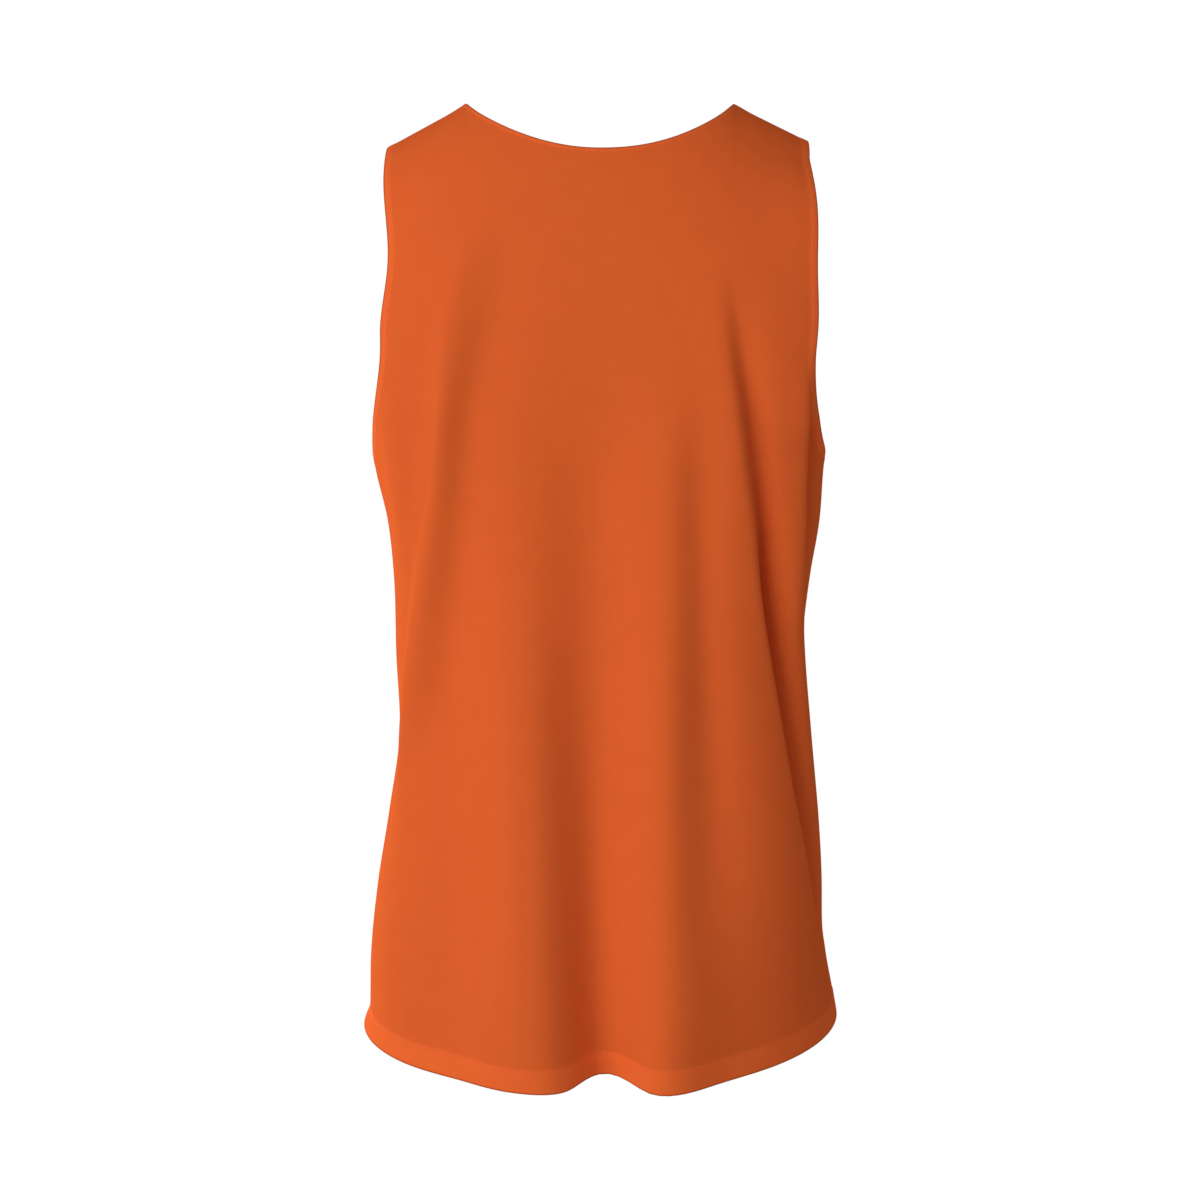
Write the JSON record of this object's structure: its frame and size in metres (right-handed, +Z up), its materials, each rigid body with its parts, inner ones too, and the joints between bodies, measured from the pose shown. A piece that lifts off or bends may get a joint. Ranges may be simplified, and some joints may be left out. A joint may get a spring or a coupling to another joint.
{
  "type": "reversible jersey",
  "caption": "Sleeveless reversible sports jersey in plain knit, kept in the hollow shape of being worn, with open neck, armholes and hem.",
  "frame": {"origin": "midway between the two high shoulder points, where the wearer's shoulders hold the jersey up", "axes": "+Z up, -Y out of the front panel, +Y out of the back panel, +X towards the wearer's left"},
  "size_m": [0.3689, 0.2877, 0.7075],
  "materials": {
    "orange_knit": "smooth polyester knit with a soft sheen"
  },
  "bodies": {
    "root": {"back_panel": "orange_knit", "front_panel": "orange_knit"}
  },
  "joints": []
}
